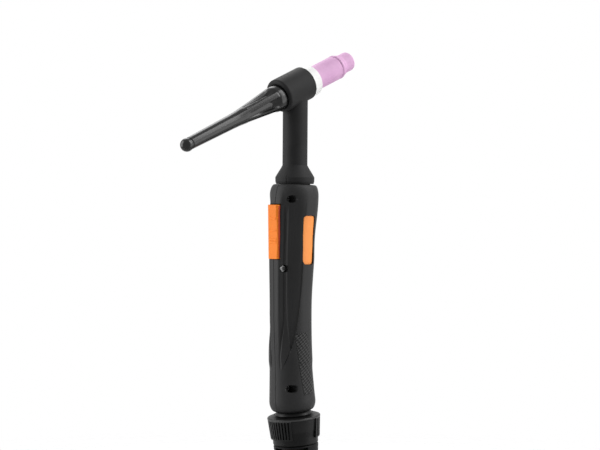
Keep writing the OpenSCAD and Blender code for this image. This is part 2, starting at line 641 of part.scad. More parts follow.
// ---------- nozzle end, drawn along the head's axis ----------
gasket_from = head_front + 0.2;
gasket_to = head_front + gasket_len;
nozzle_seat = gasket_to - 3;
nozzle_from = nozzle_seat + 0.2;
nozzle_to = nozzle_from + nozzle_len;
flange_body_r = 7.8;
module cup_gasket() color([0.95, 0.95, 0.93]) head_frame() turned([
    [flange_body_r + 0.2, block_front + 0.3], [block_r - 0.2, block_front + 0.3],
    [block_r - 0.2, gasket_from], [gasket_r, gasket_from], [gasket_r, gasket_to - 0.5],
    [gasket_r - 0.5, gasket_to], [nozzle_r + gap, gasket_to], [nozzle_r + gap, nozzle_seat],
    [flange_body_r + 0.2, nozzle_seat]
]);
bead_at = nozzle_to - tip_len - 4.6;
bead_r = 2;
module nozzle() color([0.86, 0.62, 0.78]) head_frame() turned(concat(
    [[nozzle_bore, nozzle_from], [nozzle_r - 0.3, nozzle_from], [nozzle_r, nozzle_from + 0.3],
     [nozzle_r, bead_at - bead_r - 0.4], [nozzle_r - 0.25, bead_at - bead_r]],
    arc(nozzle_r - bead_r + bead_h, bead_at, bead_r, -50, 60),
    arc(tip_r + 2, nozzle_to - tip_len + 1.4, 2, 235, 180, 5),
    arc(tip_r - 1.8, nozzle_to - 1.8, 1.8, 0, 90),
    [[throat_r + 0.4, nozzle_to], [throat_r, nozzle_to - 0.4], [throat_r, bead_at - 1],
     [nozzle_bore - 0.2, bead_at - 4], [nozzle_bore - 0.2, nozzle_from + 8.4],
     [nozzle_bore, nozzle_from + 8]]
));
thread_to = nozzle_from + 7.2;
nose_to = thread_to + nose_len;
module collet_body() color([0.8, 0.52, 0.36]) head_frame() difference() {
    turned([
        [0, block_front - front_depth + 1], [body_thread_r, block_front - front_depth + 1],
        [body_thread_r, block_front + gap], [flange_body_r, block_front + gap],
        [flange_body_r, nozzle_seat - 0.5], [nozzle_bore - 0.1, nozzle_seat - 0.5],
        [nozzle_bore - 0.1, thread_to], [nose_r, thread_to], [nose_r, nose_to - 2],
        [nose_r - 1, nose_to], [0, nose_to]
    ]);
    turned([[0, -far], [collet_r + 0.1, -far], [collet_r + 0.1, nose_to - 3],
        [electrode_r + 0.2, nose_to - 1.4], [electrode_r + 0.2, nose_to + 1], [0, nose_to + 1]]);
    for (a = [0, 90]) translate([0, 0, thread_to + 4]) rotate([90, 0, a])
        cylinder(r = gas_hole_r, h = 2 * far, center = true, $fn = fine);
}
collet_r = 2.05;
collet_rear = 6;
slit_len = 12;
module collet() color([0.82, 0.5, 0.34]) head_frame() difference() {
    turned([[electrode_r + run, -collet_rear], [collet_r, -collet_rear], [collet_r, nose_to - 3.2],
        [electrode_r + 0.35, nose_to - 2], [electrode_r + run, nose_to - 2]]);
    for (a = [0, 90]) rotate([0, 0, a]) translate([-far, -0.2, nose_to - 2 - slit_len])
        cube([2 * far, 0.4, slit_len + 1]);
}
electrode_tip = nozzle_to - electrode_back;
module electrode() color([0.6, 0.6, 0.62]) head_frame() turned([
    [0, electrode_tip - electrode_len], [electrode_r, electrode_tip - electrode_len],
    [electrode_r, electrode_tip - point_len], [0.1, electrode_tip], [0, electrode_tip]
]);

// ---------- back cap, drawn with Z running back from the head ----------
module cap_frame() head_frame() mirror([0, 0, 1]) children();
cap_from = recess_floor + 0.2;
collar_to = head_rear + collar_len;
cone_to = collar_to + cone_len;
cap_tip = electrode_len - electrode_tip + cap_beyond;
knob_at = cap_tip - knob_r;
groove_at = knob_at - 3.4;
shank_r = 5;
shank_to = cap_from + 9;
flute_from = collar_to + 3;
flute_len = 24;
flute_floor = taper_r + 0.3;
flute_slope = 2.4;
flute_turn = 160;          // turn of the first flute, from the nozzle's lower side
module flute_cutter() translate([flute_floor + flute_r, 0, flute_from]) rotate([0, -flute_slope, 0]) {
    cylinder(r = flute_r, h = flute_len, $fn = fine);
    sphere(r = flute_r, $fn = fine);
    translate([0, 0, flute_len]) sphere(r = flute_r, $fn = fine);
}
cone = [for (i = [0 : 7]) let (u = i / 7)
    [mix(collar_r - 0.35, taper_r, pow(u, 1.4)), collar_to + 0.4 + (cone_len - 0.4) * u]];
module back_cap() color([0.07, 0.07, 0.08]) cap_frame() difference() {
    turned(concat(
        [[0, cap_from], [collar_r, cap_from], [collar_r, collar_to]], cone, [[cap_end_r, groove_at],
         [knob_r - 0.8, groove_at + 0.9], [knob_r - 0.8, groove_at + 1.5], [knob_r, groove_at + 2.2]],
        arc(0, knob_at, knob_r, 0, 90)));
    for (i = [0 : flutes - 1]) rotate([0, 0, flute_turn + 360 * i / flutes]) flute_cutter();
    translate([0, 0, cap_from - 1]) cylinder(r = shank_r + 0.02, h = shank_to - cap_from + 1, $fn = fine);
    translate([0, 0, cap_from]) cylinder(r = cap_bore, h = knob_at - 2 - cap_from, $fn = fine);
}
module cap_insert() color([0.82, 0.67, 0.34]) cap_frame() turned([
    [cap_bore, collet_rear + gap], [insert_r - 0.5, collet_rear + gap],
    [insert_r, collet_rear + gap + 0.5], [insert_r, cap_from - run],
    [shank_r, cap_from - run], [shank_r, shank_to - 0.1], [cap_bore, shank_to - 0.1]
]);
seal_r = insert_r + 0.2 + seal_t / 2;
module cap_seal() color([0.08, 0.08, 0.08]) cap_frame()
    translate([0, 0, (block_rear + cap_from) / 2]) rotate_extrude($fn = fine)
        translate([seal_r, 0]) circle(d = seal_t, $fn = 48);

// ---------- tail, drawn in its own leaning frame ----------
spigot_top = heel_top - gap;
ball_cut = 6.5;            // the ball is cut off this far below its centre
seat_r = ball_r + gap;
module swivel_ball() color([0.13, 0.13, 0.14]) tail_frame() difference() {
    union() {
        intersection() {
            translate([0, 0, -ball_drop]) sphere(r = ball_r, $fn = fine);
            translate([0, 0, -ball_drop - ball_cut])
                cylinder(r = far, h = ball_drop + ball_cut, $fn = fine);
        }
        translate([0, 0, -ball_drop]) cylinder(r = spigot_r, h = ball_drop + spigot_top, $fn = fine);
        translate([0, 0, heel_lip + step + gap]) cylinder(r = flange_r, h = flange_t, $fn = fine);
    }
    turned([[0, -far], [ball_bore + far - ball_drop - ball_cut, -far], [ball_bore, -ball_drop],
        [ball_bore, far], [0, far]]);
}
neck_edge = asin(spigot_r / ball_r);
mouth_edge = neck_edge + tilt_max + 2;
nut_mouth_r = seat_r * sin(mouth_edge);
nut_top = -ball_drop + seat_r * cos(mouth_edge);
rim_z = nut_top - 2;
pad_len = 17;
nut_low = rim_z - nut_h;
cup_thread_r = 16.9;
cup_top = -ball_drop - 5;
groove_step = 7.3;
nut_high_r = nut_r - 1.2;  // smooth part of the nut under the rim
pad_h = 1.1;
pad_low = rim_z - pad_len;
module pad_outline() polygon([
    [nut_low_r - 0.5, pad_low], [nut_low_r + 1.4 * pad_h, pad_low],
    [nut_low_r + 1.5 * pad_h, pad_low + 0.6],
    [nut_high_r + pad_h, rim_z - 0.9], [nut_high_r - 1, rim_z - 0.9]
]);
module nut_pad() difference() {
    rotate([0, 0, -pad_angle / 2]) rotate_extrude(angle = pad_angle, $fn = fine) pad_outline();
    pad_grooves();
}
module pad_grooves() for (i = [0 : grooves - 1]) rotate([0, 0, (i - (grooves - 1) / 2) * groove_step])
    translate([nut_low_r + 0.2, -groove_w / 2, pad_low + 1]) cube([far, groove_w, pad_len - 2.8]);
module ring_nut() color([0.14, 0.14, 0.15]) tail_frame() {
    difference() {
        turned(concat([
            [cup_thread_r + 0.1, nut_low], [nut_low_r - 0.6, nut_low], [nut_low_r, nut_low + 0.6],
            [nut_low_r, pad_low + 1.5], [nut_high_r, rim_z - 1.4],
            [nut_r, rim_z - 1.1], [nut_r, rim_z - 0.3], [nut_r - 0.5, rim_z + 0.3],
            [nut_mouth_r + 0.9, nut_top]
        ],
            arc(0, -ball_drop, seat_r, 90 - mouth_edge, 0, 12),
            [[cup_thread_r + 0.1, -ball_drop - 0.5]]));
        for (s = [0, 180]) rotate([0, 0, 180 + pad_turn + s]) pad_grooves();
    }
    for (s = [0, 180]) rotate([0, 0, 180 + pad_turn + s]) nut_pad();
}
sleeve_top = nut_low - 0.4;
sleeve_low = sleeve_top - sleeve_len;
sleeve_in_r = 14;
cup_skirt_r = sleeve_in_r - 0.2;
cup_low = sleeve_top - 5.5;
cup_floor = -ball_drop - 9.6;
module swivel_cup() color([0.18, 0.18, 0.19]) tail_frame() difference() {
    turned([
        [0, cup_low], [cup_skirt_r, cup_low], [cup_skirt_r, sleeve_top + 0.2],
        [cup_thread_r, sleeve_top + 0.2], [cup_thread_r, cup_top], [0, cup_top]
    ]);
    translate([0, 0, -ball_drop]) sphere(r = seat_r, $fn = fine);
    translate([0, 0, cup_floor - 1.2])
        cylinder(r = sqrt(pow(seat_r, 2) - pow(9.6, 2)), h = far, $fn = fine);
    translate([0, 0, -2 * far]) cylinder(r = outlet_r, h = 2 * far, $fn = fine);
}
taper_from = sleeve_top - sleeve_collar;
slot_rows = floor((sleeve_len - sleeve_collar - outlet_len - 2) / slot_pitch);
module sleeve_slots() for (i = [0 : slot_rows - 1], s = [0, 180])
    translate([0, 0, taper_from - slot_h - i * slot_pitch])
        rotate([0, 0, 210 - slot_angle / 2 + 90 * (i % 2) + s])
            rotate_extrude(angle = slot_angle, $fn = fine)
                translate([outlet_r - 1, 0]) square([far, slot_h]);
module cable_sleeve() color([0.12, 0.12, 0.13]) tail_frame() difference() {
    turned([
        [sleeve_in_r, sleeve_top], [sleeve_r - 0.8, sleeve_top], [sleeve_r, sleeve_top - 0.8],
        [sleeve_r, taper_from], [mouth_r, sleeve_low + 1.2], [mouth_r - 1.2, sleeve_low],
        [outlet_r, sleeve_low], [outlet_r, sleeve_low + outlet_len], [sleeve_in_r, cup_low - 2]
    ]);
    sleeve_slots();
}

handle_left();
handle_right();
handle_screws();
label_inlay();
trigger();
trigger_pin();
switch_housing();
switch_plunger();
switch_terminals();
head_cover();
head_block();
neck_tube();
power_adaptor();
cup_gasket();
collet_body();
collet();
electrode();
nozzle();
back_cap();
cap_insert();
cap_seal();
swivel_ball();
swivel_cup();
ring_nut();
cable_sleeve();
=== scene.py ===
import math
import bmesh
import bpy
from mathutils import Matrix, Vector


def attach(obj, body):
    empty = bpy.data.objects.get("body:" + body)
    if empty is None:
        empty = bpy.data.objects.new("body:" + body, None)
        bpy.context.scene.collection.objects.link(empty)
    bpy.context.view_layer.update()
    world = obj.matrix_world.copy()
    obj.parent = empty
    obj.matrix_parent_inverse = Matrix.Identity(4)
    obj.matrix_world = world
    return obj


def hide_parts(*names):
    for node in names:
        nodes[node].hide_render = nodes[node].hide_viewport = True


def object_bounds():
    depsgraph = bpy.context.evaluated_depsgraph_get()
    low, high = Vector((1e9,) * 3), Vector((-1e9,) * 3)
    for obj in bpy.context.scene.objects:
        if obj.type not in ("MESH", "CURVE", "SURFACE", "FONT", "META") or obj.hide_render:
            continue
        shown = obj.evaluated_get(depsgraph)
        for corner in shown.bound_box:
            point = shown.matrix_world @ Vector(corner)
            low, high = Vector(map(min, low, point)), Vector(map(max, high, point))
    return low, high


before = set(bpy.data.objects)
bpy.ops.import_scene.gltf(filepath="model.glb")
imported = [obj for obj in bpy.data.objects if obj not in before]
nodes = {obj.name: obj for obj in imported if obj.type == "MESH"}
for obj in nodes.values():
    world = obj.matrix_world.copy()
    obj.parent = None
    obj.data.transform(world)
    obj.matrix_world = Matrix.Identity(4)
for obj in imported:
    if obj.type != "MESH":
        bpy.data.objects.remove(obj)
solid_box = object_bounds()

MM = 0.001


# ---------------------------------------------------------------- shader maths
class Field:
    """A socket in a material. Arithmetic on it adds Math nodes."""

    def __init__(self, tree, socket=None):
        self.tree, self.socket = tree, socket

    def node(self, kind, inputs=(), out=0, **settings):
        """Adds a node: its settings first, then the values or links of its sockets."""
        made = self.tree.nodes.new(kind)
        for name, value in settings.items():
            setattr(made, name, value)
        for key, value in dict(inputs).items():
            if isinstance(value, Field):
                self.tree.links.new(value.socket, made.inputs[key])
            else:
                made.inputs[key].default_value = value
        return Field(self.tree, made.outputs[out])

    def outputs(self, *names):
        """Other outputs of the node that this socket belongs to."""
        return [Field(self.tree, self.socket.node.outputs[name]) for name in names]

    def math(self, operation, *others):
        return self.node("ShaderNodeMath", dict(enumerate((self,) + others)), operation=operation)

    def __add__(self, other):
        return self.math("ADD", other)

    def __sub__(self, other):
        return self.math("SUBTRACT", other)

    def __mul__(self, other):
        return self.math("MULTIPLY", other)

    def __neg__(self):
        return self.math("MULTIPLY", -1.0)

    __radd__ = __add__

    def between(self, low, high):
        """0 below low, 1 above high, smooth between."""
        return self.node("ShaderNodeMapRange", {0: self, 1: low, 2: high},
                         interpolation_type="SMOOTHSTEP")

    def mix(self, first, second):
        """Colour: first where this is 0, second where it is 1."""
        return self.node("ShaderNodeMix", {0: self, 6: first, 7: second}, out=2, data_type="RGBA")


class Finish(Field):
    """A material, with the row's own coordinates in metres."""

    def __init__(self, name):
        self.material = bpy.data.materials.new(name)
        self.material.use_nodes = True
        super().__init__(self.material.node_tree)
        self.shader = self.tree.nodes["Principled BSDF"]
        self.place = self.node("ShaderNodeTexCoord", out=3)
        self.bumps = None

    def axes(self, turn=(0, 0, 0), origin=(0, 0, 0)):
        """x, y and z of the place, seen from a turned frame at origin."""
        spot = self.node("ShaderNodeMapping", {0: self.place, 1: origin, 2: turn}, vector_type="TEXTURE")
        return self.node("ShaderNodeSeparateXYZ", {0: spot}).outputs(0, 1, 2)

    def noise(self, scale, detail=2.0, rough=0.5):
        return self.node("ShaderNodeTexNoise", {"Vector": self.place, "Scale": scale,
                                                "Detail": detail, "Roughness": rough})

    def bump(self, height, depth, strength=1.0):
        """Raises the surface by height times depth, in metres."""
        inputs = {"Height": height, "Distance": depth, "Strength": strength}
        if self.bumps:
            inputs["Normal"] = self.bumps
        self.bumps = self.node("ShaderNodeBump", inputs)

    def done(self, **sockets):
        if self.bumps:
            sockets["Normal"] = self.bumps
        for name, value in sockets.items():
            socket = self.shader.inputs[name.replace("_", " ")]
            if isinstance(value, Field):
                self.tree.links.new(value.socket, socket)
            else:
                socket.default_value = value
        return self.material


FRONT_COS, FRONT_SIN = 0.719, 0.695    # the front lies 44 degrees from -Y toward -X


def shade(level, blue=0.0):
    return (level, level, level * (1 + blue), 1)


def round_place(f, centre=0.0):
    """Angle round an upright piece from its front, and height, in degrees and mm."""
    x, y, z = f.axes()
    x = x * 1000 - centre
    y = y * 1000
    right, front = x * FRONT_COS - y * FRONT_SIN, -(x * FRONT_SIN + y * FRONT_COS)
    return right.math("ARCTAN2", front) * math.degrees(1), z * 1000


def ribs_along(u, v, rise, pitch):
    """Straight ribs on a flat patch: rise is the (cosine, sine) of their turn, pitch in mm."""
    return ((v * rise[0] + u * rise[1]) * (2 * math.pi / pitch)).math("SINE").between(-0.4, 0.6)


def knurl(f):
    """A tilted patch of fine crossed ribs low on the -Y side: where it is, and its ribs."""
    grip_axis, mm_per_degree = -3.3, 0.302
    patch_round, patch_height, tilt = 13.3, -52.0, (0.985, 0.174)
    angle, height = round_place(f, grip_axis)
    u, v = angle * mm_per_degree - patch_round, height - patch_height
    across, down = u * tilt[0] + v * tilt[1], v * tilt[0] - u * tilt[1]
    patch = across.math("ABSOLUTE").between(6.4, 5.6) * down.math("ABSOLUTE").between(25.0, 24.0)
    return patch, ribs_along(u, v, (0.819, -0.574), 2.05) * 0.7 + ribs_along(u, v, (0.643, 0.766), 3.1) * 0.3


def moulded_plastic(name, dark, light, gloss=0.5, grain=0.00006, extra=None, ior=1.3):
    """Matt moulded plastic: fine spark-eroded grain, faint flow clouds, small scuffs, and a named extra."""
    f = Finish(name)
    clouds = f.noise(38, 3)
    grains = f.noise(2600, 1)
    scuffs = f.noise(310, 4, 0.7).between(0.66, 0.74)
    f.bump(grains, grain, 0.55)
    tint = (clouds * 0.7 + grains * 0.3).between(0.3, 0.7)
    colour = tint.mix(dark, light)
    if extra == "knurl":
        patch, ribs = knurl(f)
        f.bump(patch * ribs, 0.0014, 1.0)
        # Painted shade in the knurl's slots and painted highlight on its rib tops; the ribs themselves are the bump
        # above.
        colour = patch.mix(colour, ribs.mix(shade(0.0002), shade(0.048)))
    # Painted highlight: a light band on the ring nut's outer rim; painted shade: its pad grooves near black.
    if extra == "painted rim highlight and groove shade":
        x, y, z = f.axes(TAIL_TURN, TAIL_AT)
        r = (x * x + y * y).math("SQRT") * 1000
        groove_shade, rim = r.between(18.9, 18.5), r.between(21.05, 21.2)
        colour = rim.mix(groove_shade.mix(colour, shade(0.0005)), shade(0.045))
    # Painted shade: the trigger's side faces near the slot are painted dark red.
    if extra == "painted side shade":
        x, y, z = f.axes()
        side = y.math("ABSOLUTE").between(0.00555, 0.0057) * x.between(-0.0237, -0.0231)
        colour = (side * 0.93).mix(colour, (0.36, 0.02, 0.003, 1))
    return f.done(Base_Color=scuffs.mix(colour, tuple(1.5 * c for c in light[:3]) + (1,)),
                  Roughness=gloss + clouds * 0.1 - scuffs * 0.08, IOR=ior)


def rubber(name, dark, light, gloss=0.55, seam=False, ior=1.25):
    """Silicone rubber: soft clouds, very fine pits and, on the skirt, one mould line with painted shade along it."""
    f = Finish(name)
    clouds = f.noise(60, 3)
    pits = f.noise(1900, 2)
    f.bump(pits, 0.00005, 0.5)
    colour = clouds.between(0.3, 0.7).mix(dark, light)
    if seam:
        angle, height = round_place(f)
        line = (angle + 24.5).math("ABSOLUTE").between(2.2, 1.0) * height.between(98.5, 97.5)
        f.bump(-line, 0.0004, 0.8)
        # Painted shade: the mould line's groove is painted near black.
        colour = (line * 0.85).mix(colour, shade(0.001))
    return f.done(Base_Color=colour,
                  Roughness=gloss + pits * 0.08 + clouds * 0.06, IOR=ior)


def metal(name, dark, light, gloss, turn=(0, 0, 0)):
    """Turned metal: fine rings along the piece's own axis."""
    f = Finish(name)
    x, y, z = f.axes(turn)
    rings = f.node("ShaderNodeTexNoise", {"Vector": f.node("ShaderNodeCombineXYZ", {2: z}),
                                          "Scale": 6000, "Detail": 1.0})
    stain = f.noise(120, 3)
    f.bump(rings, 0.00001, 0.3)
    return f.done(Base_Color=stain.between(0.35, 0.7).mix(dark, light), Metallic=1.0,
                  Roughness=gloss + stain * 0.12)


HEAD_TURN = (0, math.radians(90 - 22.4), 0)
TAIL_TURN, TAIL_AT = (0, math.radians(-6.5), 0), (0, 0, -0.09)
CHARCOAL = (shade(0.009, 0.02), shade(0.015, 0.02))

finishes = {
    "handle_left": moulded_plastic("grip charcoal", *CHARCOAL),
    "handle_right": moulded_plastic("grip charcoal with knurl", *CHARCOAL, extra="knurl"),
    "handle_screws": metal("blackened screw steel", shade(0.1), shade(0.2), 0.32),
    "label_inlay": moulded_plastic("label orange", (0.87, 0.29, 0.068, 1), (0.93, 0.32, 0.078, 1), 0.45,
                                   0.00002),
    "trigger": moulded_plastic("trigger orange", (0.88, 0.215, 0.014, 1), (0.94, 0.24, 0.018, 1), 0.5,
                               0.00002, extra="painted side shade"),
    "trigger_pin": metal("ground pin steel", shade(0.4), shade(0.55), 0.22),
    "switch_housing": moulded_plastic("switch black", shade(0.02), shade(0.03)),
    "switch_plunger": moulded_plastic("switch red", (0.4, 0.02, 0.015, 1), (0.5, 0.03, 0.02, 1)),
    "switch_terminals": metal("terminal brass", (0.55, 0.38, 0.14, 1), (0.72, 0.54, 0.25, 1), 0.3),
    "head_cover": rubber("head rubber", *CHARCOAL, seam=True),
    "head_block": metal("head brass", (0.5, 0.33, 0.12, 1), (0.7, 0.5, 0.22, 1), 0.3, HEAD_TURN),
    "neck_tube": metal("neck copper", (0.6, 0.25, 0.13, 1), (0.75, 0.36, 0.2, 1), 0.3),
    "power_adaptor": metal("adaptor brass", (0.5, 0.33, 0.12, 1), (0.7, 0.5, 0.22, 1), 0.3),
    "collet_body": metal("collet copper", (0.6, 0.25, 0.13, 1), (0.75, 0.36, 0.2, 1), 0.3, HEAD_TURN),
    "electrode": metal("ground tungsten", shade(0.2), shade(0.32), 0.3, HEAD_TURN),
    "swivel_ball": moulded_plastic("joint charcoal", shade(0.005), shade(0.008), 0.36, ior=1.24),
    "ring_nut": moulded_plastic("nut charcoal", shade(0.005), shade(0.008), 0.36, extra="painted rim highlight and groove shade", ior=1.24),
    "cable_sleeve": rubber("sleeve rubber", shade(0.004), shade(0.007), 0.42, ior=1.19),
}
for same, first in {"collet": "collet_body", "cap_insert": "head_block",
                    "swivel_cup": "swivel_ball",
                    "cap_seal": "cable_sleeve"}.items():
    finishes[same] = finishes[first]


def gasket_white():
    f = Finish("white ptfe")
    clouds = f.noise(90, 3)
    f.bump(f.noise(900, 2), 0.00003, 0.5)
    return f.done(Base_Color=clouds.between(0.3, 0.7).mix((0.8, 0.8, 0.79, 1), (0.86, 0.86, 0.85, 1)),
                  Roughness=0.45 + clouds * 0.1)


def fired_alumina():
    f = Finish("pink alumina")
    clouds = f.noise(70, 4)
    specks = f.noise(2100, 2).between(0.6, 0.7)
    f.bump(f.noise(1500, 3), 0.00004, 0.6)
    clay = clouds.between(0.3, 0.7).mix((0.59, 0.325, 0.54, 1), (0.67, 0.39, 0.61, 1))
    return f.done(Base_Color=(specks * 0.35).mix(clay, (0.76, 0.56, 0.7, 1)),
                  Roughness=0.62 + clouds * 0.1)


def gloss_phenolic():
    f = Finish("gloss black phenolic")
    clouds = f.noise(55, 3)
    hairlines = f.noise(90, 3)
    f.bump(hairlines, 0.00001, 0.03)
    return f.done(Base_Color=clouds.between(0.3, 0.7).mix(shade(0.003), shade(0.005)),
                  Roughness=0.2 + hairlines * 0.06, IOR=1.36)


finishes["cup_gasket"] = gasket_white()
finishes["nozzle"] = fired_alumina()
finishes["back_cap"] = gloss_phenolic()
for name, o in nodes.items():
    o.data.materials.clear()
    o.data.materials.append(finishes[name])


# ---------------------------------------------------------------- grip shells
GRIP = 180.0                 # all of this part in millimetres, as in the part's source
BULGE_R, SHOULDER_R, WAIST_R, HEEL_R = 19.6, 18.0, 16.4, 18.5
BULGE_AT, SHOULDER_AT, WAIST_AT, HEEL_AT = 11.0, 45.0, GRIP - 81, GRIP - 7
BOW, TAIL_LEAN, TOP_LEAN = 4.3, 6.5, -1.8
WALL = 2.6
NECK_R, NECK_DEEP = 12.9, 3.5                    # opening at the top
HEEL_BORE_R, HEEL_DEEP = 13.6, 9                 # opening at the heel
FLANGE_R, FLANGE_FROM, FLANGE_TO = 15.8, 3.1, 6.3    # groove for the swivel's flange, up from the heel
CREASE_FROM, CREASE_TO = 62.0, 147.0
# angle from the trigger side, rise of the surface there
FRONT = [(0, 1.3), (8, 1.45), (14, 1.8), (18, 1.65), (24, 0.1), (30, -0.95), (36, -1.6),
         (44, -2), (52, -1.9), (60, -1.4), (70, -0.6), (80, -0.1), (90, 0)]
# distance from the grip's top, angle: the two edges of the blade-shaped rib
BLADE_LEFT = [(0, 26), (44, 27), (108, 28), (137, 17), (147, 19)]
BLADE_RIGHT = [(0, 35), (44, 36), (92, 37.5), (110, 40), (122, 45), (131, 50), (147, 22)]


def blend(a, b, u):
    return a + (b - a) * u


def ease(a, b, d):
    u = min(1, max(0, (d - a) / (b - a)))
    return u * u * (3 - 2 * u)


def along(table, key):
    """Straight lines between the rows of a table."""
    for (k0, v0), (k1, v1) in zip(table, table[1:]):
        if key <= k1:
            return blend(v0, v1, max(0, (key - k0) / (k1 - k0)))
    return table[-1][1]


def cosd(a):
    return math.cos(math.radians(a))


def sind(a):
    return math.sin(math.radians(a))


def body_r(d):
    if d < SHOULDER_AT:
        return blend(BULGE_R, SHOULDER_R, ease(BULGE_AT, SHOULDER_AT, d))
    if d < WAIST_AT:
        return blend(SHOULDER_R, WAIST_R, ease(SHOULDER_AT, WAIST_AT, d))
    return blend(WAIST_R, HEEL_R, min(1, (d - WAIST_AT) / (HEEL_AT - WAIST_AT)) ** 3)


def rounding(drop, reach, d):
    return drop * (1 - math.sqrt(1 - (1 - min(1, d / reach)) ** 2))


def crease_at(d):
    return 78 - 58 * min(1, max(0, (d - CREASE_FROM) / (CREASE_TO - CREASE_FROM))) ** 3


def crease_rise(d):
    return 0.7 * ease(CREASE_FROM - 16, CREASE_FROM, d) * (1 - ease(CREASE_TO - 8, CREASE_TO, d))


def front_rise(d, a):
    return along(FRONT, a) * ease(4, 24, d) * (1 - ease(98, 150, d))


def blade(d, a):
    """The thin rib that widens to a blade and ends in a point, with a hollow on its left."""
    left, right = along(BLADE_LEFT, d), along(BLADE_RIGHT, d)
    rise = ease(left, left + 3.5, a) * (1 - ease(right - 3, right, a))
    hollow = math.exp(-((a - left + 1) / 2.6) ** 2)
    return (0.75 * rise - 0.35 * hollow) * ease(14, 24, d) * (1 - ease(CREASE_TO - 6, CREASE_TO, d))


def round_r(d, a):
    lobe = 0.03 * min(1, d / 20, (GRIP - d) / 20) * (cosd(3 * a) if a > 90 else 0)
    return body_r(d) * (1 + lobe) - rounding(3.4, 10, d) - rounding(3.3, 8, GRIP - d)


def skin_r(d, a, behind):
    """Radius of the outer skin, behind the crease or in front of it."""
    seam = 0.25 * (1 - ease(0, 1.2, min(a, 180 - a)))
    form = crease_rise(d) * sind(min(90, 180 - a)) if behind else front_rise(d, a) + blade(d, a)
    return round_r(d, a) + form - seam


def axis_x(d):
    return -BOW * max(0, sind(180 * (d / GRIP) ** 1.15)) ** 0.7


def grip_point(d, a, r, side):
    """A point of the grip: d down from its top, turned a from the trigger side, r out."""
    lean = math.radians(blend(TOP_LEAN, TAIL_LEAN, (d / GRIP) ** 2))
    x = -r * cosd(a)
    return Vector((axis_x(d) + x * math.cos(lean), side * r * sind(a), GRIP / 2 - d + x * math.sin(lean))) * MM


def tail_point(up, a, r, side):
    lean = math.radians(TAIL_LEAN)
    x = -r * cosd(a)
    return Vector((x * math.cos(lean) - up * math.sin(lean), side * r * sind(a),
                   x * math.sin(lean) + up * math.cos(lean) - GRIP / 2)) * MM


def inner_skin(d, a, side):
    """Neck opening, plain wall, and the seat of the swivel's flange at the heel."""
    up = GRIP - d
    if d <= NECK_DEEP:
        return Vector((-NECK_R * cosd(a), side * NECK_R * sind(a), GRIP / 2 - d)) * MM
    if up <= HEEL_DEEP:
        return tail_point(up, a, FLANGE_R if FLANGE_FROM < up < FLANGE_TO else HEEL_BORE_R, side)
    lobe = 0.03 * (cosd(3 * a) if a > 90 else 0)
    return grip_point(d, a, body_r(d) * (1 + lobe) + front_rise(d, a) - WALL, side)


def mesh_object(name, bm, smooth_to=None):
    """A new object from a bmesh, with edges sharper than smooth_to degrees kept sharp."""
    bmesh.ops.recalc_face_normals(bm, faces=bm.faces)
    if smooth_to:
        for f in bm.faces:
            f.smooth = True
        for e in bm.edges:
            e.smooth = len(e.link_faces) == 2 and e.calc_face_angle(0) < math.radians(smooth_to)
    me = bpy.data.meshes.new(name)
    bm.to_mesh(me)
    bm.free()
    o = bpy.data.objects.new(name, me)
    bpy.context.collection.objects.link(o)
    return o


def cut(piece, *cutters):
    """Takes the cutters out of the piece, then removes them."""
    for cutter in cutters:
        m = piece.modifiers.new("cut", "BOOLEAN")
        m.object, m.operation, m.solver = cutter, "DIFFERENCE", "MANIFOLD"
    shaped = bpy.data.meshes.new_from_object(piece.evaluated_get(bpy.context.evaluated_depsgraph_get()))
    piece.modifiers.clear()
    piece.data = shaped
    for cutter in cutters:
        bpy.data.objects.remove(cutter)


ROWS = [0, 0.35, 0.7, 1.2, 2, 2.8, 3.5, 3.6] + [4.2 + i * 0.85 for i in range(196)] + [
    170.9, 171.1, 172, 173.6, 173.8, 174.6, 175.8, 176.8, 176.95, 177.8, 178.6, 179.3, 179.7, 180]
IN_FRONT, BEHIND, INSIDE = 76, 60, 36


def shell(name, side):
    """Half of the grip, side +1 or -1 of the joint plane."""
    bm = bmesh.new()
    outer, inner = [], []
    for d in ROWS:
        c = crease_at(d)
        turns = [(c * (k / IN_FRONT), False) for k in range(IN_FRONT + 1)]
        turns += [(blend(c + 1.3, 180, (k / BEHIND)), True) for k in range(BEHIND + 1)]
        turns[1:1] = [(c / IN_FRONT / 3, False), (c / IN_FRONT * 2 / 3, False)]
        turns[-1:-1] = [(179, True), (179.5, True)]
        outer.append([bm.verts.new(grip_point(d, a, skin_r(d, a, behind), side)) for a, behind in turns])
        inner.append([bm.verts.new(inner_skin(d, 180 * k / INSIDE, side)) for k in range(INSIDE + 1)])
    for skin in (outer, inner):
        for upper, lower in zip(skin, skin[1:]):
            for k in range(len(upper) - 1):
                bm.faces.new((upper[k], upper[k + 1], lower[k + 1], lower[k]))
    for k in (0, -1):
        for o, i, o2, i2 in zip(outer, inner, outer[1:], inner[1:]):
            bm.faces.new((o[k], i[k], i2[k], o2[k]))
    for k in (0, -1):
        bm.faces.new(outer[k] + inner[k][::-1])
    return mesh_object(name, bm)


ALONG_Y = Matrix.Rotation(math.radians(90), 3, "X")          # the axis of the revolve points to -Y


def turned(name, outline, place, steps=48):
    """Revolve of an outline (radius, height), closed on its axis, which runs from place to -Y."""
    bm = bmesh.new()
    rings = []
    for r, h in outline:
        if r == 0:
            rings.append([bm.verts.new((0, 0, h * MM))])
        else:
            rings.append([bm.verts.new((r * MM * cosd(360 * k / steps), r * MM * sind(360 * k / steps), h * MM))
                          for k in range(steps)])
    for one, two in zip(rings, rings[1:]):
        for k in range(steps):
            n = (k + 1) % steps
            corners = [one[k % len(one)], one[n % len(one)], two[n % len(two)], two[k % len(two)]]
            bm.faces.new(list(dict.fromkeys(corners)))
    bmesh.ops.transform(bm, matrix=Matrix.Translation(Vector(place) * MM) @ ALONG_Y.to_4x4(), verts=bm.verts)
    return mesh_object(name, bm, 28)


